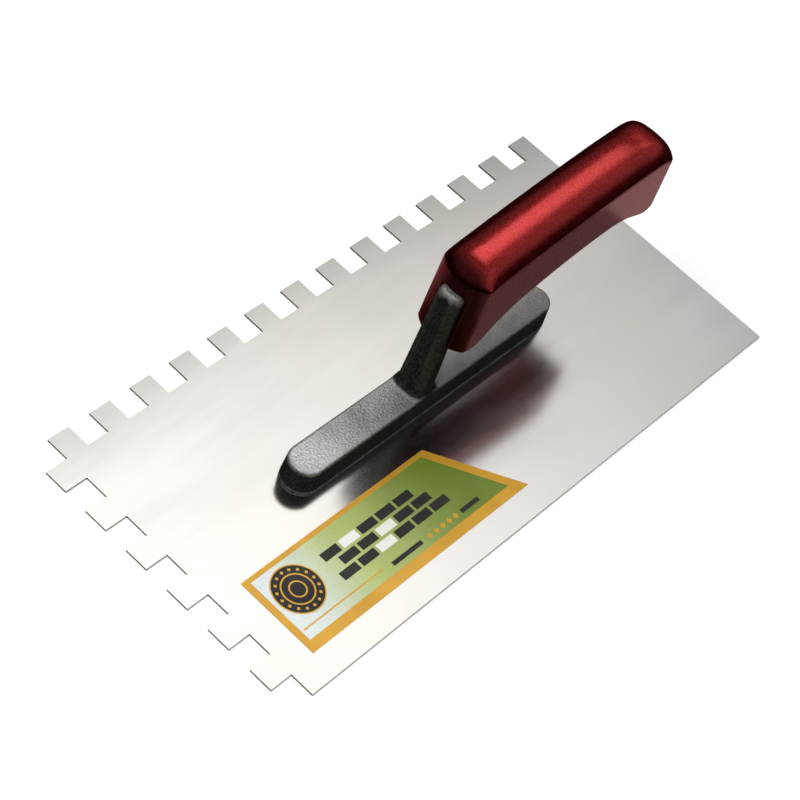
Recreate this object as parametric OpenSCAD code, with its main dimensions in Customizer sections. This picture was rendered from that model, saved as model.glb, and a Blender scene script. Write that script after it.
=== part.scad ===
// Notched trowel: a toothed stainless blade, a cast mounting and a lacquered wooden handle.
// Millimetres, +Z up. The origin is the centre of the blade's underside. The long toothed edge
// faces +Y and the short toothed edge faces -X; the other two edges are plain.

/* [Blade] */
// Length of the blade
blade_len = 280; // [260:10:320]
// Width of the blade, from the tips of the long edge's teeth to the plain edge
blade_w = 130; // [120:5:150]
// Thickness of the blade's sheet
blade_t = 0.8; // [0.6:0.1:1.2]
// Side of each square notch, and width of each tooth
notch = 10; // [6:1:12]

/* [Mounting bar] */
// Length of the bar where it meets the blade
bar_len = 146.5; // [140:0.5:160]
// Width of the bar where it meets the blade
bar_w = 15.8; // [15:0.1:20]
// Height of the bar above the blade
bar_h = 11; // [9:0.5:13]
// How far the bar's middle lies from the blade's middle, towards +X
bar_shift = -2.4; // [-5:0.1:5]

/* [Arm] */
// Depth of the arm along X at its foot
arm_depth_foot = 11.2; // [10:0.1:13]
// Depth of the arm along X at its top
arm_depth_top = 9; // [8.5:0.1:10]
// Width of the arm across Y at its foot
arm_w_foot = 12.6; // [11:0.1:13]
// Width of the arm across Y at its top
arm_w_top = 10.4; // [9:0.1:11]
// Height of the arm's top above the blade's underside
arm_top_z = 65.2; // [62:0.1:67]

/* [Handle] */
// Length of the handle, measured at its heel
handle_len = 115.5; // [112:0.1:118]
// Width of the handle across its flat sides
handle_w = 23; // [21:0.5:26]
// Rise of the crown above the line where it meets the flat sides
crown_h = 8; // [6:0.5:9]
// Fullness of the crown: 2 is an ellipse, more is squarer
crown_power = 2.4; // [2:0.1:3]

/* [Fixings] */
// Number of rivets that hold the blade to the bar
rivet_count = 6; // [4:1:8]
// Diameter of a rivet's shank
rivet_d = 4; // [3:0.5:5]
// Diameter of a rivet's flush head at the blade's underside
rivet_head_d = 6.4; // [5.5:0.1:7]
// Diameter of the tang rod
tang_d = 6; // [5:0.5:6]
// Slope of the tang rod above the horizontal, in degrees
tang_slope = 8; // [7:0.5:8.5]

/* [Label] */
// Length of the label along its lower edge
label_len = 118.8; // [80:0.1:119]
// Width of the label across Y
label_w = 35; // [25:1:36]
// How far the label's upper edge is shorter at its slanted end
label_slant = 21.8; // [0:0.1:30]

/* [Hidden] */
$fn = 96;
eps = 0.5;

pitch = 2 * notch;
bar_base_z = blade_t;
bar_top_z = blade_t + bar_h;
bar_draft = 0.7;
bar_top_chamfer = 0.9;
bar_r = bar_w / 2;
bar_x0 = bar_shift - bar_len / 2 + bar_r;
bar_x1 = bar_shift + bar_len / 2 - bar_r;

// The arm's top ends at this plane, inside the pocket in the handle's front.
shoulder_x = -5.8;
arm_foot_x1 = -3.1;
arm_corner_r = 3.8;
arm_top_round = 2.2;
arm_flare = 1.8;
pocket_gap = 0.2;

handle_front_x = -11.3;
handle_rear_x = handle_front_x + handle_len;
front_r = 14.8;
rear_r = 32;
// The rear end leans forwards by this angle.
rear_lean = 5;
crease_front_z = 71.6;
crease_rear_z = 81;
crease_slope = atan2(crease_rear_z - crease_front_z, handle_len);
guard_z = 37.8;
front_round = [14.5, 9.5];
rear_round = [18, 9];
heel_z = 50.2;
heel_r = 6.5;
rear_top_x = handle_rear_x - (crease_rear_z - heel_z - heel_r) * tan(rear_lean);
// How far the side view runs past the arched rear end, which trims it.
overrun = 0.3;
// Reach of the blocks that shape the handle, well past its ends.
reach = 60;

rivet_depth = 6;
rivet_inset = 9.5;
rivet_pitch = (bar_len - 2 * rivet_inset) / (rivet_count - 1);

tang_front_z = 52.5;
tang_clear = 0.25;
tang_in_arm = 7;
counterbore_r = 7.6;
counterbore_floor = 97;
washer_t = 1.2;
washer_r = 7;
nut_h = 5;
nut_flats = 10;
tang_end = counterbore_floor + washer_t + nut_h + 1.3;

label_t = 0.1;
label_inset_x = 22;
label_inset_y = 11;

// Points of a cubic Bezier curve, without its first point.
function bezier(a, b, c, d, n = 10) = [
    for (i = [1:n])
        let (t = i / n, s = 1 - t)
            pow(s, 3) * a + 3 * s * s * t * b + 3 * s * t * t * c + pow(t, 3) * d
];

// Points of an ellipse's arc from angle a0 to angle a1.
function ellipse_arc(centre, radii, a0, a1, n = 10) = [
    for (i = [0:n]) let (a = a0 + (a1 - a0) * i / n) centre + [radii[0] * cos(a), radii[1] * sin(a)]
];

function power_of(v, p) = sign(v) * pow(abs(v), p);

// Places what its children draw along +Z onto the tang's axis, at a distance from the shoulder.
module on_tang(distance) {
    translate([shoulder_x, 0, tang_front_z])
        rotate([0, 90 - tang_slope, 0])
            translate([0, 0, distance])
                children();
}

module at_rivets() {
    for (i = [0 : rivet_count - 1])
        translate([bar_shift - bar_len / 2 + rivet_inset + i * rivet_pitch, 0, 0])
            children();
}

module rivet() {
    cylinder(h = blade_t, d1 = rivet_head_d, d2 = rivet_d);
    translate([0, 0, blade_t])
        cylinder(h = rivet_depth, d = rivet_d);
}

// Sheet with square notches along the long +Y edge and the short -X edge.
// One notch is shared by both edges and takes the corner away.
module blade() {
    color([0.80, 0.79, 0.76])
        difference() {
            translate([-blade_len / 2, -blade_w / 2, 0])
                cube([blade_len, blade_w, blade_t]);
            for (x = [-blade_len / 2 : pitch : blade_len / 2 - notch])
                translate([x, blade_w / 2 - notch, -eps])
                    cube([notch, notch + eps, blade_t + 2 * eps]);
            for (y = [blade_w / 2 - notch - pitch : -pitch : -blade_w / 2])
                translate([-blade_len / 2 - eps, y, -eps])
                    cube([notch + eps, notch, blade_t + 2 * eps]);
            at_rivets()
                cylinder(h = blade_t, d1 = rivet_head_d, d2 = rivet_d);
        }
}

// Half of the bar's cross-section, from its middle plane outwards.
module bar_half_section() {
    polygon([
        [0, 0],
        [bar_r, 0],
        [bar_r - bar_draft, bar_h - bar_top_chamfer],
        [bar_r - bar_draft - bar_top_chamfer, bar_h],
        [0, bar_h]
    ]);
}

module bar_end(x) {
    translate([x, 0, bar_base_z])
        rotate_extrude()
            bar_half_section();
}

module bar() {
    bar_end(bar_x0);
    bar_end(bar_x1);
    translate([bar_x0, 0, bar_base_z])
        rotate([90, 0, 90])
            linear_extrude(bar_x1 - bar_x0) {
                bar_half_section();
                mirror([1, 0, 0])
                    bar_half_section();
            }
}

// Thin level plate with rounded corners, from x0 to x1, for the arm's lofts.
module arm_plate(x0, x1, width, z, r = arm_corner_r) {
    for (x = [x0 + r, x1 - r])
        for (y = [-1, 1])
            translate([x, y * (width / 2 - r), z])
                cylinder(h = 0.01, r = r, $fn = 32);
}

// Tapering arm, grown on all sides by a gap where it shapes the pocket that takes it.
module arm_post(gap = 0) {
    top_x0 = shoulder_x - arm_depth_top;
    round = arm_top_round;
    hull() {
        arm_plate(arm_foot_x1 - arm_depth_foot - gap, arm_foot_x1 + gap, arm_w_foot + 2 * gap, bar_top_z);
        arm_plate(top_x0 - gap, shoulder_x + gap, arm_w_top + 2 * gap, arm_top_z - round);
        arm_plate(top_x0 + round - gap, shoulder_x + gap, arm_w_top - 2 * round + 2 * gap,
            arm_top_z + gap, arm_corner_r - round / 2);
    }
}

module arm_foot() {
    hull() {
        arm_plate(arm_foot_x1 - arm_depth_foot - arm_flare, arm_foot_x1 + arm_flare,
            arm_w_foot, bar_top_z - 1);
        arm_plate(arm_foot_x1 - arm_depth_foot, arm_foot_x1, arm_w_foot, bar_top_z + arm_flare);
    }
}

// Bar and upright arm in one casting.
module mount_casting() {
    color([0.36, 0.37, 0.36])
        difference() {
            union() {
                bar();
                arm_foot();
                arm_post();
            }
            at_rivets()
                translate([0, 0, blade_t])
                    cylinder(h = rivet_depth, d = rivet_d);
            on_tang(-tang_in_arm)
                cylinder(h = tang_in_arm + eps, d = tang_d);
        }
}

// Flush-headed rivets, all alike, each in its own hole.
module blade_rivets() {
    color([0.62, 0.62, 0.60])
        at_rivets()
            rivet();
}

// Steel stud, screwed into the arm at one end and threaded for the nut at the other.
module tang_rod() {
    color([0.70, 0.70, 0.72])
        on_tang(-tang_in_arm)
            cylinder(h = tang_in_arm + tang_end, d = tang_d);
}

// Side view of the handle: finger guard at the front, hollowed grip, heel at the rear.
// Its top lies above the crown between the two rounded ends.
module handle_side() {
    front = handle_front_x;
    rear = handle_rear_x + overrun;
    roll = rear_top_x + overrun - rear_round[0];
    guard = [0.5, guard_z];
    grip_front = [20, 49.5];
    grip_back = [71, 56.8];
    heel_start = 19;
    heel_centre = [rear - heel_r, heel_z + heel_r];
    heel = heel_centre - heel_r * [sin(heel_start), cos(heel_start)];
    crown_z = crease_rear_z + crown_h;
    polygon(concat(
        [[front, guard_z + 2], [front + 1.5, guard_z + 0.8], guard - [5, -0.4]],
        bezier(guard - [5, -0.4], guard - [3, -0.1], guard - [1, 0], guard),
        bezier(guard, guard + [3.5, 0.6], grip_front - [11, 3.8], grip_front),
        bezier(grip_front, grip_front + [16, 4.2], grip_back - [18, 0.6], grip_back),
        bezier(grip_back, grip_back + [12, 0.2], heel - [6.5, -2.2], heel),
        ellipse_arc(heel_centre, [heel_r, heel_r], -90 - heel_start, 0),
        ellipse_arc([roll, crease_rear_z], rear_round, 0, 90),
        [[roll, crown_z + 3]],
        [[front + front_round[0], crown_z + 3]],
        ellipse_arc([front + front_round[0], crease_front_z], front_round, 90, 180)
    ));
}

// Cross-section of the handle: flat sides and a crown that starts at a crease.
module handle_section() {
    half = handle_w / 2;
    steps = 28;
    polygon(concat(
        [[-half, -reach]],
        [for (i = [0:steps])
            let (a = 180 - 180 * i / steps)
                [half * power_of(cos(a), 2 / crown_power), crown_h * power_of(sin(a), 2 / crown_power)]],
        [[half, -reach]]
    ));
}

// How deep an arc of radius r is over a chord of the given width.
function arc_depth(r, width) = r - sqrt(r * r - width * width / 4);

// Arched end drawn for the -X end: an arc that meets the flat sides at an edge.
module end_arc(apex_x, r, width) {
    intersection() {
        translate([apex_x + r, 0])
            circle(r = r);
        translate([apex_x - 1, -width / 2])
            square([arc_depth(r, width) + 2, width]);
    }
}

// Upright block that gives the handle its flat sides and its arched front end.
module front_block() {
    linear_extrude(2 * reach) {
        end_arc(handle_front_x, front_r, handle_w);
        translate([handle_front_x + arc_depth(front_r, handle_w), -handle_w / 2])
            square([handle_len + reach, handle_w]);
    }
}

// Leaning block with the arched rear end, wider than the handle along its sides.
module rear_block() {
    width = handle_w + 2;
    length = handle_len + reach;
    translate([handle_rear_x, 0, heel_z + heel_r])
        rotate([0, -rear_lean, 0])
            translate([0, 0, -reach])
                linear_extrude(2 * reach) {
                    mirror([1, 0])
                        end_arc(0, rear_r, width);
                    translate([-length, -width / 2])
                        square([length - arc_depth(rear_r, width), width]);
                }
}

// Wooden handle, bored for the tang, with a pocket for the arm and a counterbore in its rear end.
module handle() {
    color([0.45, 0.05, 0.06])
        difference() {
            intersection() {
                rotate([90, 0, 0])
                    linear_extrude(handle_w + 2, center = true)
                        handle_side();
                translate([handle_front_x, 0, crease_front_z])
                    rotate([90, 0, 90])
                        rotate([-crease_slope, 0, 0])
                            translate([0, 0, -reach])
                                linear_extrude(handle_len + 2 * reach)
                                    handle_section();
                front_block();
                rear_block();
            }
            arm_post(pocket_gap);
            on_tang(-5)
                cylinder(h = counterbore_floor + 6, r = tang_d / 2 + tang_clear);
            on_tang(counterbore_floor)
                cylinder(h = 20, r = counterbore_r);
        }
}

module tang_washer() {
    color([0.72, 0.72, 0.74])
        on_tang(counterbore_floor)
            difference() {
                cylinder(h = washer_t, r = washer_r);
                translate([0, 0, -eps])
                    cylinder(h = washer_t + 2 * eps, r = tang_d / 2 + tang_clear);
            }
}

module tang_nut() {
    color([0.68, 0.68, 0.70])
        on_tang(counterbore_floor + washer_t)
            difference() {
                cylinder(h = nut_h, r = nut_flats / 2 / cos(30), $fn = 6);
                translate([0, 0, -eps])
                    cylinder(h = nut_h + 2 * eps, d = tang_d);
            }
}

// Thin foil on the blade's top face, square at one end and slanted at the other.
module label() {
    color([0.72, 0.70, 0.38])
        translate([-blade_len / 2 + label_inset_x, -blade_w / 2 + label_inset_y, blade_t])
            linear_extrude(label_t)
                polygon([[0, 0], [label_len, 0], [label_len - label_slant, label_w], [0, label_w]]);
}

blade();
mount_casting();
blade_rivets();
tang_rod();
handle();
tang_washer();
tang_nut();
label();
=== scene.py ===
import itertools
import math

import bpy
import numpy as np
from mathutils import Matrix, Vector


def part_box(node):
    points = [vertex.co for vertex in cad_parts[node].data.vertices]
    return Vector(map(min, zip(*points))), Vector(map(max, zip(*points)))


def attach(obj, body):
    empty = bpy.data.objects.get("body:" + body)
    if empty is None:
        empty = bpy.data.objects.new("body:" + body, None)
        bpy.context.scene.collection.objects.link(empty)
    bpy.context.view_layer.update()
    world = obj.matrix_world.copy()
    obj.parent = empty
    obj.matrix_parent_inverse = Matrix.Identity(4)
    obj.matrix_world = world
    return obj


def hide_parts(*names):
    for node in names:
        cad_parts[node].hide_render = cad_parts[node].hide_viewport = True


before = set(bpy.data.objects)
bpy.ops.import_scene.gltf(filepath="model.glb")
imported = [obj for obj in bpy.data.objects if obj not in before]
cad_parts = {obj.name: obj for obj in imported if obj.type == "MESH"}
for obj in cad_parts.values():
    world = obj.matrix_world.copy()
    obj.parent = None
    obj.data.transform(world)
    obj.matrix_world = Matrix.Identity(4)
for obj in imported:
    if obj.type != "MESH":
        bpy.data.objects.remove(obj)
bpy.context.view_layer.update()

# Shapes are worked out in millimetres and scaled when a mesh is made.
MM = 0.001


def cad_box(node):
    low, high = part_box(node)
    return np.array(low) / MM, np.array(high) / MM


# Blade and label
BLADE_TOP_Z = cad_box("blade")[1][2]
LABEL_LOW, LABEL_HIGH = cad_box("label")
LABEL_SLANT = 21.8

# Casting: a bar with rounded ends and an upright arm
CAST_LOW, CAST_HIGH = cad_box("mount_casting")
BAR_BASE_Z = BLADE_TOP_Z
BAR_TOP_Z = BAR_BASE_Z + 11
BAR_R = CAST_HIGH[1]
BAR_X0 = CAST_LOW[0] + BAR_R
BAR_X1 = CAST_HIGH[0] - BAR_R
BAR_DRAFT = 0.7
BAR_RIM = 0.9
ARM_TOP_Z = CAST_HIGH[2]
ARM_FOOT = {"x": -8.7, "deep": 5.6, "wide": 6.3}
ARM_TOP = {"x": -10.3, "deep": 4.5, "wide": 5.2}
ARM_CORNER_R = 3.8
ARM_TOP_R = 2.2
FILLET_R = 3.0

# Handle
HANDLE_LOW, HANDLE_HIGH = cad_box("handle")
FRONT_X = HANDLE_LOW[0]
REAR_X = HANDLE_HIGH[0]
HALF_W = HANDLE_HIGH[1]
GUARD_Z = HANDLE_LOW[2]
FRONT_R = 14.8
REAR_R = 32.0
REAR_LEAN = math.radians(5)
CREASE_FRONT_Z = 71.3
CREASE_REAR_Z = 81.0
CREASE_POWER = 1.65
CROWN_POWER = 2.1
CROWN_HALF_W = 11.75
CROWN_FULL_H = 10.4
FRONT_ROLL = 13.0
REAR_ROLL = 22.0
CORNER_POWER = 5
CORNER_DROP = 2.4
DIP_X = 86.0
DIP_SPREAD = 7.0
DIP_DEPTH = 0.085
HEEL_Z = 50.2
HEEL_R = 6.5
UNDER_OVERRUN = 0.3
POCKET_GAP = 0.2

# Tang rod, washer and nut, along a sloping axis
TANG_FRONT = np.array([-5.8, 0, 52.5])
TANG_SLOPE = math.radians(8)
TANG_R = 3.0
COUNTERBORE_S = 97.0
COUNTERBORE_R = 7.6
WASHER_T = 1.2
WASHER_R = 7.0
NUT_H = 5.0
NUT_APOTHEM = 5.0
THREAD_PITCH = 1.0
TANG_END_S = COUNTERBORE_S + WASHER_T + NUT_H + 1.3
TANG_START_S = -7.0

# Rivets
RIVET_COUNT = 6
RIVET_INSET = 9.5
RIVET_R = 2.0
RIVET_HEAD_R = 3.2
RIVET_TOP_Z = 6.8

# Brightness of the floor far out and of the backdrop
PAPER = (0.97, 0.97, 0.97, 1)


# ---------------------------------------------------------------- mesh making

def mesh_object(name, verts, faces, material, sharp=None):
    """Mesh from points in millimetres, smooth all over or with sharp edges above an angle in degrees."""
    mesh = bpy.data.meshes.new(name)
    mesh.from_pydata((np.asarray(verts) * MM).tolist(), [], [list(map(int, f)) for f in faces])
    mesh.validate()
    mesh.shade_smooth()
    if sharp is not None:
        mesh.set_sharp_from_angle(angle=math.radians(sharp))
    mesh.materials.append(material)
    obj = bpy.data.objects.new(name, mesh)
    bpy.context.scene.collection.objects.link(obj)
    return obj


def stand_for(obj, node):
    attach(obj, "root")
    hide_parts(node)


def loft(rings, closed=False, caps=False):
    """Points and quads through rings of equally many points; closed joins the last ring to the first."""
    count, size = len(rings), len(rings[0])
    verts = np.concatenate(rings)
    faces = []
    for i in range(count if closed else count - 1):
        a, b = i * size, (i + 1) % count * size
        for j in range(size):
            k = (j + 1) % size
            faces.append((a + j, a + k, b + k, b + j))
    if caps:
        faces.append(tuple(reversed(range(size))))
        faces.append(tuple(range((count - 1) * size, count * size)))
    return verts, faces


def ring(radius, z, steps=64, centre=(0, 0)):
    """One level ring; radius and z may be arrays over the angle."""
    angle = np.arange(steps) * math.tau / steps
    return np.stack([
        centre[0] + radius * np.cos(angle),
        centre[1] + radius * np.sin(angle),
        np.zeros(steps) + z,
    ], axis=1)


def joined(parts):
    """One set of points and faces from several."""
    verts, faces, start = [], [], 0
    for v, f in parts:
        verts.append(v)
        faces += [tuple(i + start for i in face) for face in f]
        start += len(v)
    return np.concatenate(verts), faces


def on_tang(points):
    """Points drawn along +Z, moved onto the tang's axis."""
    c, s = math.cos(TANG_SLOPE), math.sin(TANG_SLOPE)
    axes = np.array([[s, 0, -c], [0, 1, 0], [c, 0, s]])
    return TANG_FRONT + points @ axes


def prism(outline, z0, z1):
    """Straight prism over an outline given anticlockwise."""
    flat = np.asarray(outline, float)
    rings = [np.column_stack([flat, np.full(len(flat), z)]) for z in (z0, z1)]
    return loft(rings, caps=True)


# ------------------------------------------------- surfaces from signed fields

def round_max(a, b, r):
    """Where both fields are negative, with the edge between them rounded to radius r."""
    return np.minimum(-r, np.maximum(a, b)) + np.hypot(np.maximum(a + r, 0), np.maximum(b + r, 0))


def round_min(a, b, r):
    """Where either field is negative, with a fillet of radius r between them."""
    return -round_max(-a, -b, r)


def cell_points(value, step):
    """Cells that the surface crosses, and the middle of its crossings in each, in steps."""
    shape = np.array(value.shape) - 1
    corners = list(itertools.product((0, 1), repeat=3))

    def at(c):
        return value[c[0]:shape[0] + c[0], c[1]:shape[1] + c[1], c[2]:shape[2] + c[2]]

    inside = sum((at(c) < 0).astype(np.int8) for c in corners)
    mixed = (inside > 0) & (inside < 8)
    cells = np.argwhere(mixed)
    total, hits = np.zeros((len(cells), 3)), np.zeros((len(cells), 1))
    for a, b in itertools.combinations(corners, 2):
        if sum(abs(p - q) for p, q in zip(a, b)) != 1:
            continue
        va, vb = at(a)[mixed], at(b)[mixed]
        cross = ((va < 0) != (vb < 0))[:, None]
        t = (va / np.where(va == vb, 1, va - vb))[:, None]
        total += np.where(cross, np.array(a) + t * (np.array(b) - np.array(a)), 0)
        hits += cross
    return mixed, cells, (cells + total / hits) * step


def pulled_on(field, points, step, rounds=4):
    """Points moved along the field's gradient until they lie on the surface."""
    delta = step * 0.05
    for _ in range(rounds):
        value = field(*points.T)
        slope = np.stack([
            (field(*(points + d).T) - field(*(points - d).T)) / (2 * delta)
            for d in np.eye(3) * delta
        ], axis=1)
        size = np.maximum((slope ** 2).sum(axis=1), 0.05)
        move = slope * (value / size)[:, None]
        points = points - np.clip(move, -step / 2, step / 2)
    return points


def surface(field, low, high, step):
    """Quad mesh of the surface field(x, y, z) = 0 inside a box, in millimetres."""
    low, high = np.asarray(low, float), np.asarray(high, float)
    axes = [np.arange(a, b + step, step) for a, b in zip(low, high)]
    value = field(*np.meshgrid(*axes, indexing="ij"))
    mixed, cells, points = cell_points(value, step)
    index = np.full(mixed.shape, -1)
    index[mixed] = np.arange(len(cells))
    inside = value < 0
    faces = []
    for axis in range(3):
        side, other = np.roll(np.eye(3, dtype=int), -axis, axis=0)[1:]
        here = [slice(1, n - 1) for n in value.shape]
        here[axis] = slice(0, value.shape[axis] - 1)
        there = list(here)
        there[axis] = slice(1, value.shape[axis])
        start, end = inside[tuple(here)], inside[tuple(there)]
        first = np.ones(3, dtype=int)
        first[axis] = 0
        for leaving in (True, False):
            at = np.argwhere((start != end) & (start == leaving)) + first
            loop = [at, at - side, at - side - other, at - other]
            quad = np.stack([index[tuple(p.T)] for p in loop], axis=1)
            faces.append(quad if leaving else quad[:, ::-1])
    return pulled_on(field, points + low, step), np.concatenate(faces)


def edge_bend(obj, spread=3, gain=1.6):
    """Stores how sharply the surface bends outwards at each point, from 0 to 1, as edge_bend."""
    mesh = obj.data
    count = len(mesh.vertices)
    place, normal = np.empty(count * 3), np.empty(count * 3)
    mesh.vertices.foreach_get("co", place)
    mesh.vertices.foreach_get("normal", normal)
    place, normal = place.reshape(-1, 3), normal.reshape(-1, 3)
    ends = np.empty(len(mesh.edges) * 2, dtype=np.int32)
    mesh.edges.foreach_get("vertices", ends)
    a, b = ends.reshape(-1, 2).T
    gap = place[b] - place[a]
    bend = ((normal[b] - normal[a]) * gap).sum(axis=1) / np.maximum((gap ** 2).sum(axis=1), 1e-12)
    near = np.bincount(np.concatenate([a, b]), minlength=count)
    outward_bend = np.bincount(np.concatenate([a, b]), np.concatenate([bend, bend]), count) / np.maximum(near, 1)
    for _ in range(spread):
        shared = np.concatenate([outward_bend[b], outward_bend[a]])
        outward_bend = (outward_bend + np.bincount(np.concatenate([a, b]), shared, count) / np.maximum(near, 1)) / 2
    layer = mesh.attributes.new("edge_bend", "FLOAT", "POINT")
    layer.data.foreach_set("value", np.clip(outward_bend * MM * gain, 0, 1).astype(np.float32))


# ---------------------------------------------------------------- materials

def srgb(r, g, b):
    """Linear colour from screen values of 0 to 255."""

    def linear(v):
        v /= 255
        return v / 12.92 if v <= 0.04045 else ((v + 0.055) / 1.055) ** 2.4

    return (linear(r), linear(g), linear(b), 1.0)


class Graph:
    """A material's node tree, built by short calls."""

    def __init__(self, name):
        self.material = bpy.data.materials.new(name)
        self.material.use_nodes = True
        self.tree = self.material.node_tree
        self.shader = self.tree.nodes["Principled BSDF"]
        self.place = self.node("ShaderNodeTexCoord").outputs["Object"]

    def put(self, node, values):
        for key, value in values.items():
            socket = node.inputs[key]
            if isinstance(value, bpy.types.NodeSocket):
                self.tree.links.new(value, socket)
            else:
                socket.default_value = value

    def node(self, kind, values=None, **settings):
        node = self.tree.nodes.new(kind)
        for key, value in settings.items():
            setattr(node, key, value)
        self.put(node, values or {})
        return node

    def stretched(self, scale):
        return self.node("ShaderNodeMapping", {"Vector": self.place, "Scale": scale}).outputs[0]

    def noise(self, scale, detail=2.0, roughness=0.5, vector=None):
        return self.node("ShaderNodeTexNoise", {
            "Vector": vector or self.place, "Scale": scale, "Detail": detail, "Roughness": roughness,
        }).outputs["Fac"]

    def grains(self, scale, out="Distance", vector=None):
        return self.node("ShaderNodeTexVoronoi", {
            "Vector": vector or self.place, "Scale": scale,
        }).outputs[out]

    def spread(self, value, a, b, c=0.0, d=1.0):
        """value between a and b, mapped smoothly to c..d."""
        return self.node("ShaderNodeMapRange", {
            "Value": value, "From Min": a, "From Max": b, "To Min": c, "To Max": d,
        }, interpolation_type="SMOOTHSTEP").outputs[0]

    def math(self, operation, a, b):
        return self.node("ShaderNodeMath", {0: a, 1: b}, operation=operation).outputs[0]

    def mix(self, factor, a, b, blend="MIX"):
        return self.node("ShaderNodeMix", {
            0: factor, 6: a, 7: b,
        }, data_type="RGBA", blend_type=blend).outputs[2]

    def bump(self, height, strength, distance, normal=None):
        values = {"Height": height, "Strength": strength, "Distance": distance}
        if normal is not None:
            values["Normal"] = normal
        return self.node("ShaderNodeBump", values).outputs[0]

    def part(self, axis, vector=None):
        split = self.node("ShaderNodeSeparateXYZ", {0: vector or self.place})
        return split.outputs[axis]

    def finish(self, **values):
        self.put(self.shader, {key.replace("_", " "): value for key, value in values.items()})
        return self.material


def polished_steel():
    """Sheet steel with a rolled polish: faint clouds, wiping marks and a little waviness; painted shade
    darkens its cut edges.
    """
    g = Graph("polished_steel")
    cloud = g.noise(14, 3, 0.55)
    tint = g.spread(g.noise(9, 2, 0.5), 0.35, 0.65)
    smear = g.noise(26, 4, 0.6, g.stretched((0.35, 1.6, 1)))
    hairline = g.noise(320, 2, 0.5, g.stretched((0.06, 1, 1)))
    tone = g.mix(tint, (0.640, 0.628, 0.600, 1), (0.612, 0.618, 0.612, 1))
    tone = g.mix(g.spread(cloud, 0.30, 0.70, 0.0, 0.22), tone, (0.56, 0.53, 0.48, 1))
    # Painted shade: faces that point sideways (cut edges, tooth flanks, hole walls) get a near-black base
    # colour.
    facing = g.math("ABSOLUTE", g.part("Z", g.node("ShaderNodeNewGeometry").outputs["Normal"]), 0.0)
    tone = g.mix(g.spread(facing, 0.2, 0.8), (0.10, 0.10, 0.098, 1), tone)
    rough = g.math("ADD", g.spread(smear, 0.3, 0.7, 0.125, 0.185), g.spread(hairline, 0.4, 0.8, 0.0, 0.02))
    wave = g.bump(g.noise(22, 1, 0.4), 0.03, 0.002)
    normal = g.bump(hairline, 0.012, 0.0002, wave)
    return g.finish(Base_Color=tone, Metallic=1.0, Roughness=rough, Normal=normal)


def cast_alloy():
    """Sand-cast light alloy: granular skin with random darker blotches. Painted light and shade: near-black
    sides, light speckled upward faces, a lighter front to the bar's top, and a painted highlight on
    outward-bending edges.
    """
    g = Graph("cast_alloy")
    grain = g.grains(900)
    fine = g.noise(1500, 4, 0.65)
    blotch = g.noise(70, 4, 0.6)
    up = g.part("Z", g.node("ShaderNodeNewGeometry").outputs["Normal"])
    outward_bend = g.node("ShaderNodeAttribute", attribute_name="edge_bend").outputs["Fac"]
    speck = g.spread(g.noise(2300, 2, 0.5), 0.38, 0.66)
    # Painted light and shade: sides take the near-black tone, upward faces the light speckled one.
    tone = g.mix(g.spread(fine, 0.35, 0.70), (0.018, 0.019, 0.018, 1), (0.115, 0.118, 0.110, 1))
    painted_lit_top = g.mix(speck, (0.46, 0.46, 0.455, 1), (0.68, 0.68, 0.67, 1))
    tone = g.mix(g.spread(up, 0.72, 0.98, 0.0, 0.95), tone, painted_lit_top)
    tone = g.mix(g.spread(blotch, 0.42, 0.72, 0.0, 0.35), tone, (0.30, 0.31, 0.29, 1), "MULTIPLY")
    # Painted highlight: the front part of the bar's top is made lighter still.
    painted_front_highlight = g.math("MULTIPLY", g.spread(g.part("X"), -0.046, -0.062), g.spread(up, 0.8, 0.98, 0.0, 0.6))
    tone = g.mix(painted_front_highlight, tone, (0.84, 0.84, 0.83, 1))
    # Painted highlight: outward-bending edges are made lighter, broken up by noise.
    painted_edge_highlight = g.math("MULTIPLY", g.spread(outward_bend, 0.12, 0.5), g.spread(g.noise(420, 3, 0.6), 0.3, 0.6, 0.25, 0.9))
    tone = g.mix(painted_edge_highlight, tone, (0.46, 0.46, 0.44, 1))
    rough = g.math("ADD", g.spread(fine, 0.3, 0.8, 0.36, 0.56), g.spread(blotch, 0.3, 0.7, 0.0, 0.08))
    normal = g.bump(grain, 0.35, 0.0005, g.bump(fine, 0.45, 0.0004, g.bump(blotch, 0.12, 0.002)))
    return g.finish(Base_Color=tone, Metallic=0.9, Roughness=rough, Normal=normal,
                    Specular_Tint=(0.35, 0.35, 0.34, 1))


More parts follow.
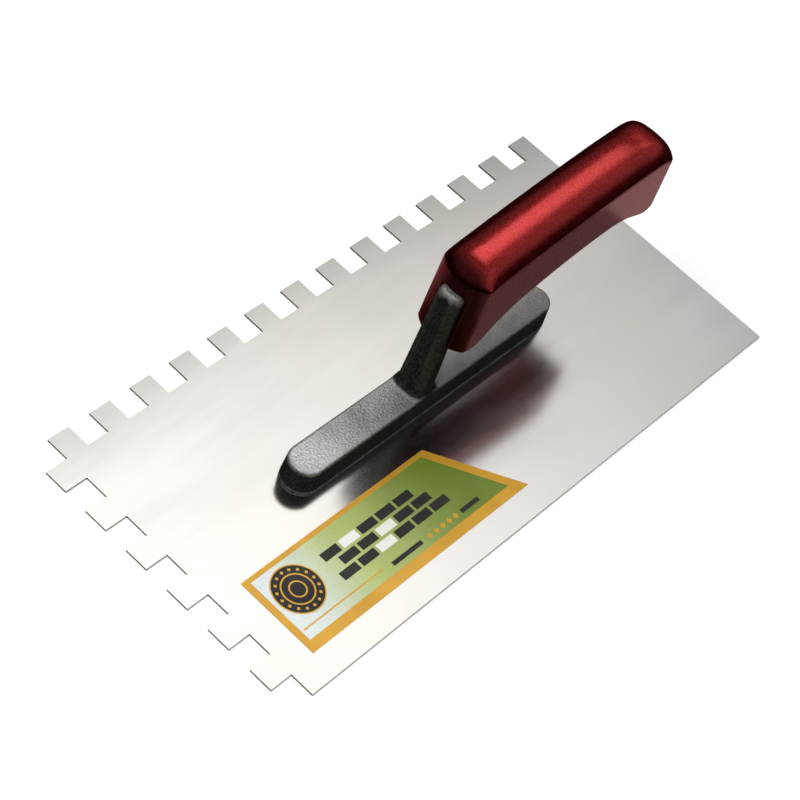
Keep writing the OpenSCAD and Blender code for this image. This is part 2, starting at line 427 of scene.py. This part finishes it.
def handle_lacquer():
    """Dark red metallic lacquer on wood: fine flakes under a clear coat, faint grain below; painted shade
    darkens its sides, underside and front.
    """
    g = Graph("handle_lacquer")
    flake = g.grains(2600, "Color")
    sparkle = g.part("X", flake)
    up = g.part("Z", g.node("ShaderNodeNewGeometry").outputs["Normal"])
    wood = g.noise(45, 4, 0.6, g.stretched((0.12, 1, 1)))
    cloud = g.noise(35, 3, 0.5)
    tone = g.mix(g.spread(sparkle, 0.1, 0.9), (0.42, 0.017, 0.018, 1), (0.67, 0.040, 0.042, 1))
    tone = g.mix(g.spread(wood, 0.40, 0.75, 0.0, 0.22), tone, (0.26, 0.010, 0.012, 1))
    tone = g.mix(g.spread(cloud, 0.35, 0.7, 0.0, 0.12), tone, (0.54, 0.03, 0.03, 1))
    ahead = g.part("X", g.node("ShaderNodeNewGeometry").outputs["Normal"])
    # Painted shade: sides get a dark red base colour, the underside a darker one.
    painted_shade = g.mix(g.spread(up, -0.6, -0.1), (0.06, 0.005, 0.006, 1), (0.11, 0.008, 0.009, 1))
    tone = g.mix(g.spread(up, 0.05, 0.45), painted_shade, tone)
    # Painted shade: faces turned forward, the front and its roll, go nearly black.
    tone = g.mix(g.spread(ahead, -0.78, -0.36, 0.9, 0.0), tone, (0.035, 0.003, 0.004, 1))
    coat = g.math("MULTIPLY", g.spread(up, -0.6, -0.1, 0.12, 0.50), g.spread(ahead, -0.85, -0.45, 0.3, 1.0))
    rough = g.math("ADD", g.spread(sparkle, 0.0, 1.0, 0.22, 0.31), g.spread(cloud, 0.3, 0.7, 0.0, 0.04))
    normal = g.bump(sparkle, 0.30, 0.0002, g.bump(wood, 0.05, 0.0006))
    return g.finish(Base_Color=tone, Metallic=1.0, Roughness=rough, Normal=normal,
                    Specular_Tint=(1.0, 0.30, 0.30, 1), Coat_Weight=coat, Coat_Roughness=0.15, Coat_IOR=1.5)


def bright_metal(name, tone, rough, grain):
    """Plated or bare small hardware with turning marks, spots and duller patches."""
    g = Graph(name)
    spot = g.noise(600, 3, 0.6)
    patch = g.noise(160, 2, 0.5)
    dark = tuple(v * 0.62 for v in tone[:3]) + (1,)
    colour = g.mix(g.spread(patch, 0.35, 0.7), tone, dark)
    roughness = g.spread(spot, 0.3, 0.7, rough - 0.05, rough + 0.08)
    normal = g.bump(spot, grain, 0.0002)
    return g.finish(Base_Color=colour, Metallic=1.0, Roughness=roughness, Normal=normal)


def printed(name, left, right, metallic, roughness, middle=None):
    """Print on foil: colours that turn into each other along the label, with specks and soft creases."""
    g = Graph(name)
    x0, x1 = LABEL_LOW[0] * MM, LABEL_HIGH[0] * MM
    tone = g.mix(g.spread(g.part("X"), x0 + 0.005, x0 + 0.045), left, middle or left)
    tone = g.mix(g.spread(g.part("X"), x0 + 0.035, x1 - 0.020), tone, right)
    speck = g.noise(900, 3, 0.6)
    dull = tuple(v * 0.8 for v in right[:3]) + (1,)
    tone = g.mix(g.spread(speck, 0.45, 0.8, 0.0, 0.14), tone, dull)
    crease = g.noise(60, 3, 0.55)
    rough = g.spread(crease, 0.3, 0.7, roughness - 0.05, roughness + 0.07)
    return g.finish(Base_Color=tone, Metallic=metallic, Roughness=rough,
                    Normal=g.bump(crease, 0.06, 0.001))


STEEL = polished_steel()
CAST = cast_alloy()
LACQUER = handle_lacquer()
ZINC = bright_metal("plated_steel", (0.66, 0.64, 0.58, 1), 0.26, 0.10)
RIVET = bright_metal("rivet_alloy", (0.52, 0.52, 0.50, 1), 0.36, 0.20)
GOLD = printed("label_gold", srgb(198, 150, 54), srgb(190, 144, 42), 0.5, 0.34)
FIELD = printed(
    "label_field", srgb(202, 210, 210), srgb(92, 112, 30), 0.25, 0.32, middle=srgb(160, 174, 104),
)
INK = printed("label_ink", srgb(14, 14, 12), srgb(16, 15, 12), 0.0, 0.42)
PALE = printed("label_pale", srgb(214, 218, 214), srgb(206, 210, 196), 0.25, 0.32)


# ---------------------------------------------------------------- the blade

def dress_blade():
    """The CAD sheet keeps its shape; its cut edges are broken by a fine bevel."""
    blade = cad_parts["blade"]
    blade.data.materials.clear()
    blade.data.materials.append(STEEL)
    bevel = blade.modifiers.new("broken_edges", "BEVEL")
    bevel.width = 0.12 * MM
    bevel.segments = 2
    bevel.limit_method = "ANGLE"
    bevel.angle_limit = math.radians(50)


# ---------------------------------------------------------------- the casting

def bar_side(x, y, z):
    """Distance from the bar's drafted side."""
    up = np.clip((z - BAR_BASE_Z) / (BAR_TOP_Z - BAR_BASE_Z), 0, 1)
    return np.hypot(x - np.clip(x, BAR_X0, BAR_X1), y) - (BAR_R - BAR_DRAFT * up)


def arm_field(x, y, z, grow=0.0):
    """Distance from the tapering arm, which starts inside the bar."""
    up = (z - BAR_TOP_Z) / (ARM_TOP_Z - BAR_TOP_Z)

    def between(key):
        return ARM_FOOT[key] + (ARM_TOP[key] - ARM_FOOT[key]) * up

    deep = np.abs(x - between("x")) - (between("deep") + grow - ARM_CORNER_R)
    wide = np.abs(y) - (between("wide") + grow - ARM_CORNER_R)
    side = np.hypot(np.maximum(deep, 0), np.maximum(wide, 0)) + np.minimum(np.maximum(deep, wide), 0)
    body = round_max(side - ARM_CORNER_R, z - ARM_TOP_Z - grow, ARM_TOP_R)
    return np.maximum(body, BAR_BASE_Z + 4 - z)


def casting_field(x, y, z):
    side = bar_side(x, y, z)
    bar = round_max(round_max(side, z - BAR_TOP_Z, BAR_RIM), BAR_BASE_Z - z, 0.35)
    return round_max(round_min(bar, arm_field(x, y, z), FILLET_R), side, 0.4)


def make_casting():
    verts, faces = surface(casting_field, CAST_LOW - 1.3, CAST_HIGH + 1.3, 0.5)
    casting = mesh_object("casting", verts, faces, CAST)
    edge_bend(casting)
    stand_for(casting, "mount_casting")


# ---------------------------------------------------------------- the handle

def bezier(a, b, c, d, steps=12):
    t = np.linspace(0, 1, steps + 1)[:, None]
    a, b, c, d = map(np.array, (a, b, c, d))
    return (1 - t) ** 3 * a + 3 * (1 - t) ** 2 * t * b + 3 * (1 - t) * t ** 2 * c + t ** 3 * d


def underside():
    """The handle's lower edge from front to rear: guard, hollowed grip and heel."""
    guard = (0.5, GUARD_Z)
    grip_front = (20, 49.5)
    grip_back = (71, 56.8)
    heel_start = math.radians(19)
    centre = (REAR_X + UNDER_OVERRUN - HEEL_R, HEEL_Z + HEEL_R)
    heel = (centre[0] - HEEL_R * math.sin(heel_start), centre[1] - HEEL_R * math.cos(heel_start))
    turn = np.linspace(-heel_start, math.pi / 2 - 0.05, 16)
    return np.concatenate([
        [(FRONT_X - 3, GUARD_Z + 1.6), (FRONT_X + 2, GUARD_Z + 0.9)],
        bezier((guard[0] - 5, GUARD_Z + 0.4), (guard[0] - 3, GUARD_Z + 0.1), (guard[0] - 1, GUARD_Z), guard),
        bezier(guard, (guard[0] + 3.5, GUARD_Z + 0.6), (grip_front[0] - 11, 45.7), grip_front)[1:],
        bezier(grip_front, (grip_front[0] + 16, 53.7), (grip_back[0] - 18, 56.2), grip_back)[1:],
        bezier(grip_back, (grip_back[0] + 12, 57.0), (heel[0] - 6.5, heel[1] + 2.2), heel)[1:-1],
        np.column_stack([centre[0] + HEEL_R * np.sin(turn), centre[1] - HEEL_R * np.cos(turn)]),
        [(REAR_X + 3, HEEL_Z + 2 * HEEL_R)],
    ])


UNDERSIDE = underside()


def under_field(x, z):
    """Roughly the distance above the lower edge, negative inside the handle."""
    edge = np.interp(x, UNDERSIDE[:, 0], UNDERSIDE[:, 1])
    slope = (np.interp(x + 0.2, UNDERSIDE[:, 0], UNDERSIDE[:, 1]) - edge) / 0.2
    return (edge - z) / np.hypot(1, slope)


def crease_z(x):
    """Height of the line where the flat sides meet the crown."""
    back = np.clip((REAR_X - x) / (REAR_X - FRONT_X), 0, 1.2)
    return CREASE_REAR_Z - (CREASE_REAR_Z - CREASE_FRONT_Z) * back ** CREASE_POWER


def crown_field(x, y, z, front, rear):
    """Roughly the distance above the crown, which rolls down to the crease at its ends and sides."""
    power = CROWN_POWER
    edge = HALF_W / CROWN_HALF_W
    sink = CROWN_FULL_H * (1 - edge ** power) ** (1 / power)
    across, ahead, behind = (
        np.clip(reach, 0, 1) for reach in (np.abs(y) / HALF_W, 1 + front / FRONT_ROLL, 1 + rear / REAR_ROLL)
    )
    inside = (1 - across ** CORNER_POWER) * (1 - ahead ** CORNER_POWER) * (1 - behind ** CORNER_POWER)
    u = edge * (1 - inside) ** (1 / CORNER_POWER)
    sink = sink + CORNER_DROP * (across * behind) ** CORNER_POWER
    dip = 1 - DIP_DEPTH * np.exp(-((x - DIP_X) / DIP_SPREAD) ** 2)
    v = np.maximum(z - crease_z(x) + sink, 1e-3) / (CROWN_FULL_H * dip)
    total = u ** power + v ** power
    pull = total ** (1 / power - 1)
    steep = np.hypot(pull * u ** (power - 1) / CROWN_HALF_W, pull * v ** (power - 1) / CROWN_FULL_H)
    return (total ** (1 / power) - 1) / steep


def tang_space(x, y, z):
    """Distance along the tang's axis and away from it."""
    px, pz = x - TANG_FRONT[0], z - TANG_FRONT[2]
    c, s = math.cos(TANG_SLOPE), math.sin(TANG_SLOPE)
    return px * c + pz * s, np.hypot(pz * c - px * s, y)


def handle_field(x, y, z):
    front = np.hypot(np.minimum(x - FRONT_X - FRONT_R, 0), y) - FRONT_R
    leaning_x = x + (z - HEEL_Z - HEEL_R) * math.tan(REAR_LEAN)
    rear = np.hypot(np.maximum(leaning_x - REAR_X + REAR_R, 0), y) - REAR_R
    plan = round_max(np.abs(y) - HALF_W, np.maximum(front, rear), 0.5)
    body = round_max(plan, crown_field(x, y, z, front, rear), 0.45)
    body = round_max(body, under_field(x, z), 0.7)
    along, away = tang_space(x, y, z)
    counterbore = np.maximum(away - COUNTERBORE_R, COUNTERBORE_S - along)
    body = round_max(body, -counterbore, 0.5)
    return round_max(body, -arm_field(x, y, z, POCKET_GAP), 0.3)


def make_handle():
    verts, faces = surface(handle_field, HANDLE_LOW - 1.3, HANDLE_HIGH + 1.3, 0.45)
    handle = mesh_object("handle_grip", verts, faces, LACQUER)
    stand_for(handle, "handle")


# ---------------------------------------------------------------- hardware

def make_tang_rod():
    """Stud with a helical thread where it stands out of the nut."""
    chamfer = 0.4
    rings = [
        ring(0.01, TANG_START_S),
        ring(TANG_R - chamfer, TANG_START_S),
        ring(TANG_R, TANG_START_S + chamfer),
    ]
    angle = np.arange(64) / 64
    thread_start = COUNTERBORE_S - 4
    for z in np.arange(thread_start, TANG_END_S - chamfer, THREAD_PITCH / 8):
        wave = np.abs((z / THREAD_PITCH - angle) % 1 - 0.5) * 2
        rings.append(ring(TANG_R - 0.5 * wave * min(1, z - thread_start), z))
    rings += [
        ring(TANG_R - 0.45, TANG_END_S - chamfer),
        ring(TANG_R - 0.9, TANG_END_S),
        ring(0.01, TANG_END_S),
    ]
    verts, faces = loft(rings)
    rod = mesh_object("tang_stud", on_tang(verts), faces, ZINC, sharp=40)
    stand_for(rod, "tang_rod")


def make_washer():
    hole, soft = TANG_R + 0.25, 0.2
    z0, z1 = COUNTERBORE_S, COUNTERBORE_S + WASHER_T
    profile = [
        (hole, z0 + soft), (hole + soft, z0), (WASHER_R - soft, z0), (WASHER_R, z0 + soft),
        (WASHER_R, z1 - soft), (WASHER_R - soft, z1), (hole + soft, z1), (hole, z1 - soft),
    ]
    verts, faces = loft([ring(r, z, 96) for r, z in profile], closed=True)
    washer = mesh_object("rear_washer", on_tang(verts), faces, ZINC, sharp=30)
    stand_for(washer, "tang_washer")


def make_nut():
    """Hexagon nut with chamfered corners and a countersunk bore."""
    steps = 96
    angle = np.arange(steps) * 360 / steps
    hexagon = NUT_APOTHEM / np.cos(np.radians((angle + 30) % 60 - 30))
    hexagon = np.minimum(hexagon, NUT_APOTHEM / math.cos(math.radians(30)) - 0.12)
    droop = (hexagon - NUT_APOTHEM * 0.97) * math.tan(math.radians(30))
    z0, z1 = COUNTERBORE_S + WASHER_T, COUNTERBORE_S + WASHER_T + NUT_H
    rings = [
        ring(TANG_R, z0 + 0.5, steps), ring(TANG_R + 0.5, z0, steps), ring(NUT_APOTHEM * 0.95, z0, steps),
        ring(hexagon, z0 + droop, steps), ring(hexagon, z1 - droop, steps),
        ring(NUT_APOTHEM * 0.95, z1, steps), ring(TANG_R + 0.5, z1, steps), ring(TANG_R, z1 - 0.5, steps),
    ]
    verts, faces = loft(rings, closed=True)
    nut = mesh_object("rear_nut", on_tang(verts), faces, ZINC, sharp=25)
    stand_for(nut, "tang_nut")


def make_rivets():
    """Flush heads with a broken rim and a shallow peening mark in the middle."""
    profile = [
        (0.01, 0.14), (0.5, 0.11), (0.9, 0.02), (1.1, 0.0), (2.9, 0.0), (3.08, 0.05),
        (RIVET_HEAD_R - 0.04, 0.16), (RIVET_R, BAR_BASE_Z), (RIVET_R, RIVET_TOP_Z - 0.3),
        (RIVET_R - 0.3, RIVET_TOP_Z), (0.01, RIVET_TOP_Z),
    ]
    first, last = CAST_LOW[0] + RIVET_INSET, CAST_HIGH[0] - RIVET_INSET
    parts = [
        loft([ring(r, z, 48, (x, 0)) for r, z in profile])
        for x in np.linspace(first, last, RIVET_COUNT)
    ]
    verts, faces = joined(parts)
    rivets = mesh_object("rivet_row", verts, faces, RIVET, sharp=35)
    stand_for(rivets, "blade_rivets")


# ---------------------------------------------------------------- the label

def slanted(left, bottom, right, top):
    """Outline inside the label's slanted shape, inset from its four edges."""
    length = LABEL_HIGH[0] - LABEL_LOW[0]
    width = LABEL_HIGH[1] - LABEL_LOW[1]
    lean = LABEL_SLANT / width

    def end_x(v):
        return length - right - lean * v

    return [
        (left, bottom), (end_x(bottom), bottom),
        (end_x(width - top), width - top), (left, width - top),
    ]


def circle(centre, radius, steps=48):
    angle = np.arange(steps) * math.tau / steps
    return np.column_stack([centre[0] + radius * np.cos(angle), centre[1] + radius * np.sin(angle)])


def box_outline(x0, y0, x1, y1, lean=0.0):
    shift = lean * (y1 - y0)
    return [(x0, y0), (x1, y0), (x1 + shift, y1), (x0 + shift, y1)]


def bricks(x0, y0, counts, size, gap):
    """Outlines of staggered courses of bricks, from the lowest course up."""
    return [
        box_outline(x, y, x + size[0], y + size[1])
        for row, count in enumerate(counts)
        for y in [y0 + row * (size[1] + gap)]
        for x in [x0 + (i + row % 2 / 2) * (size[0] + gap) for i in range(count)]
    ]


def band(centre, inner, outer, z0, z1, steps=64):
    rings = [ring(r, z, steps, centre) for r, z in ((inner, z0), (outer, z0), (outer, z1), (inner, z1))]
    return loft(rings, closed=True)


def make_label():
    """Foil with a printed field, a round seal and generic marks, each a thin layer on the one below."""
    base, foil_top = LABEL_LOW[2], LABEL_HIGH[2]
    layer = 0.025
    field_top = foil_top + layer
    seal = (14.7, 21.2)
    courses = bricks(31, 13.2, (6, 5, 5), (8.6, 3.6), 1.2)
    pale_bricks = (2, 8, 12)

    def add(name, parts, material):
        verts, faces = joined(parts)
        verts = verts + [LABEL_LOW[0], LABEL_LOW[1], 0]
        piece = mesh_object(name, verts, faces, material, sharp=30)
        stand_for(piece, "label")

    add("label_foil", [prism(slanted(0, 0, 0, 0), base, foil_top)], GOLD)
    add("label_field", [prism(slanted(3, 4.3, 4.2, 2), foil_top, field_top)], FIELD)
    ink = [
        prism(circle(seal, 10.2), field_top, field_top + layer),
        *[prism(brick, field_top, field_top + layer) for brick in courses],
        prism(box_outline(50, 6.6, 66, 8.4), field_top, field_top + layer),
        prism(box_outline(88, 6.6, 98, 8.4), field_top, field_top + layer),
    ]
    add("label_ink", ink, INK)
    top = field_top + layer
    teeth = [
        prism(circle((seal[0] + 8.1 * math.cos(a), seal[1] + 8.1 * math.sin(a)), 0.75, 4), top, top + layer)
        for a in np.arange(16) * math.tau / 16
    ]
    stars = [prism(circle((70.5 + 3.6 * i, 7.5), 1.3, 4), field_top, top) for i in range(5)]
    gold = [
        band(seal, 9.7, 10.2, top, top + layer),
        band(seal, 5.9, 6.5, top, top + layer),
        band(seal, 2.9, 3.5, top, top + layer),
        prism(box_outline(4.2, 8.0, 46, 8.6), field_top, top),
        *teeth, *stars,
    ]
    add("label_marks", gold, GOLD)
    pale = [prism(courses[i], top, top + layer) for i in pale_bricks]
    add("label_bricks", pale, PALE)


# ---------------------------------------------------------------- the studio

def plane_object(name, size, centre, material):
    x, y = size[0] / 2, size[1] / 2
    verts = np.array([(-x, -y, 0), (x, -y, 0), (x, y, 0), (-x, y, 0)]) + centre
    mesh = bpy.data.meshes.new(name)
    mesh.from_pydata(verts.tolist(), [], [(0, 1, 2, 3)])
    mesh.materials.append(material)
    obj = bpy.data.objects.new(name, mesh)
    bpy.context.scene.collection.objects.link(obj)
    return obj


def seen_only_by(obj, **rays):
    for ray in ("camera", "diffuse", "glossy", "transmission", "volume_scatter", "shadow"):
        setattr(obj, "visible_" + ray, rays.get(ray, False))


def make_floor():
    """Plain pale floor, evenly bright far out. It is clear from below, so that the underside can be seen."""
    g = Graph("floor_pale")
    tone = g.mix(g.spread(g.noise(3, 2, 0.5), 0.3, 0.7), (0.86, 0.86, 0.86, 1), (0.89, 0.89, 0.885, 1))
    g.put(g.shader, {"Base Color": tone, "Roughness": 0.9, "Specular IOR Level": 0.0})
    reach = g.node("ShaderNodeVectorMath", {0: g.place}, operation="LENGTH").outputs["Value"]
    glow = g.node("ShaderNodeEmission", {"Color": PAPER, "Strength": 1.0}).outputs[0]
    lit = g.node("ShaderNodeMixShader", {
        0: g.spread(reach, 0.35, 1.0), 1: g.shader.outputs[0], 2: glow,
    }).outputs[0]
    back = g.node("ShaderNodeNewGeometry").outputs["Backfacing"]
    clear = g.node("ShaderNodeBsdfTransparent").outputs[0]
    out = g.tree.nodes["Material Output"]
    mixed = g.node("ShaderNodeMixShader", {0: back, 1: lit, 2: clear}).outputs[0]
    g.tree.links.new(mixed, out.inputs["Surface"])
    floor = plane_object("floor", (8, 8), (0, 0, -0.00005), g.material)
    seen_only_by(floor, camera=True, transmission=True)


def make_backdrop():
    """A pale shell far behind everything, for the camera alone."""
    g = Graph("backdrop_pale")
    glow = g.node("ShaderNodeEmission", {"Color": PAPER, "Strength": 1.0})
    g.tree.links.new(glow.outputs[0], g.tree.nodes["Material Output"].inputs["Surface"])
    heights = np.sin(np.linspace(-1.5, 1.5, 17))
    verts, faces = loft([ring(9 * math.sqrt(1 - h * h), 9 * h, 48) for h in heights], caps=True)
    shell = mesh_object("backdrop", verts / MM, faces, g.material)
    seen_only_by(shell, camera=True)


def make_softbox():
    """Long overhead softbox whose light falls off towards its far end and its rims."""
    size, centre = (1.77, 0.96), (0.535, 0.16, 1.0)
    g = Graph("softbox")
    x, y = g.part("X"), g.part("Y")
    rims = g.math("MULTIPLY", g.spread(y, -0.32, 0.14, 0.20, 1.0), g.spread(y, 0.46, 0.64, 1.0, 0.0))
    ends = g.math("MULTIPLY", g.spread(x, -0.30, -0.05), g.spread(x, 1.22, 1.42, 1.0, 0.0))
    fall = g.spread(x, 0.42, 1.20, 1.80, 0.86)
    strength = g.math("MULTIPLY", g.math("MULTIPLY", rims, fall), ends)
    glow = g.node("ShaderNodeEmission", {"Color": (1.0, 0.985, 0.96, 1), "Strength": strength})
    g.tree.links.new(glow.outputs[0], g.tree.nodes["Material Output"].inputs["Surface"])
    panel = plane_object("softbox_panel", size, centre, g.material)
    seen_only_by(panel, diffuse=True, glossy=True, transmission=True)


def make_fill():
    """Broad light that gives the floor and the label their brightness and adds no reflection."""
    data = bpy.data.lights.new("fill", "AREA")
    data.shape = "SQUARE"
    data.size = 1.4
    data.energy = 33
    fill = bpy.data.objects.new("fill", data)
    fill.location = (-0.5, 0.5, 1.5)
    fill.rotation_euler = Vector((0.5, -0.5, -1.5)).to_track_quat("-Z", "Y").to_euler()
    bpy.context.scene.collection.objects.link(fill)
    fill.visible_glossy = False
    fill.visible_camera = False


def make_world():
    """Dim dome, brighter behind the camera and on the near side, with a soft bounce from below."""
    world = bpy.data.worlds.new("studio")
    bpy.context.scene.world = world
    world.use_nodes = True
    tree = world.node_tree

    def node(kind, values=None, **settings):
        made = tree.nodes.new(kind)
        for key, value in settings.items():
            setattr(made, key, value)
        for key, value in (values or {}).items():
            if isinstance(value, bpy.types.NodeSocket):
                tree.links.new(value, made.inputs[key])
            else:
                made.inputs[key].default_value = value
        return made

    way = node("ShaderNodeTexCoord").outputs["Generated"]

    def along(direction):
        return node("ShaderNodeVectorMath", {0: way, 1: direction}, operation="DOT_PRODUCT").outputs["Value"]

    def ramp(value, a, b, top, low=0.0):
        return node("ShaderNodeMapRange", {
            "Value": value, "From Min": a, "From Max": b, "To Min": low, "To Max": top,
        }, interpolation_type="SMOOTHSTEP").outputs[0]

    def math_node(operation, a, b):
        return node("ShaderNodeMath", {0: a, 1: b}, operation=operation).outputs[0]

    z = along((0.0, 0.0, 1.0))
    aside = along((0.62, -0.78, 0.0))
    ahead = along((0.918, 0.395, 0.0))
    near = math_node("MULTIPLY", ramp(z, 0.13, 0.52, 0.34), ramp(aside, 0.30, 0.65, 1.0))
    dome = math_node("MULTIPLY", ramp(z, 0.00, 0.40, 0.14), ramp(aside, 0.30, 0.65, 0.0, 1.0))
    behind = math_node("MULTIPLY", ramp(z, 0.02, 0.15, 0.18), ramp(ahead, -0.05, -0.35, 1.0))
    strength = ramp(z, -0.53, -0.64, 0.60, 0.008)
    for glow in (near, dome, behind):
        strength = math_node("ADD", strength, glow)
    back = tree.nodes["Background"]
    back.inputs["Color"].default_value = (1.0, 0.99, 0.97, 1)
    tree.links.new(strength, back.inputs["Strength"])


def make_camera():
    """The camera looks at the blade's middle from its short toothed side, tilted about its own axis."""
    target = Vector((-0.0097, 0.0020, 0.0))
    distance = 0.89365
    azimuth, elevation, roll = map(math.radians, (-66.7, 47.85, 24.4))
    back = Vector((
        math.sin(azimuth) * math.cos(elevation),
        -math.cos(azimuth) * math.cos(elevation),
        math.sin(elevation),
    ))
    level = Vector((math.cos(azimuth), math.sin(azimuth), 0))
    upright = back.cross(level)
    right = level * math.cos(roll) + upright * math.sin(roll)
    up = back.cross(right)
    data = bpy.data.cameras.new("camera")
    data.sensor_width = 36
    data.lens = 108.6
    data.clip_start, data.clip_end = 0.01, 50
    camera = bpy.data.objects.new("camera", data)
    turn = Matrix((right, up, back)).transposed().to_4x4()
    camera.matrix_world = Matrix.Translation(target + back * distance) @ turn
    bpy.context.scene.collection.objects.link(camera)
    bpy.context.scene.camera = camera


dress_blade()
make_casting()
make_handle()
make_tang_rod()
make_washer()
make_nut()
make_rivets()
make_label()
make_floor()
make_backdrop()
make_softbox()
make_fill()
make_world()
make_camera()
bpy.context.scene.view_settings.view_transform = "Standard"
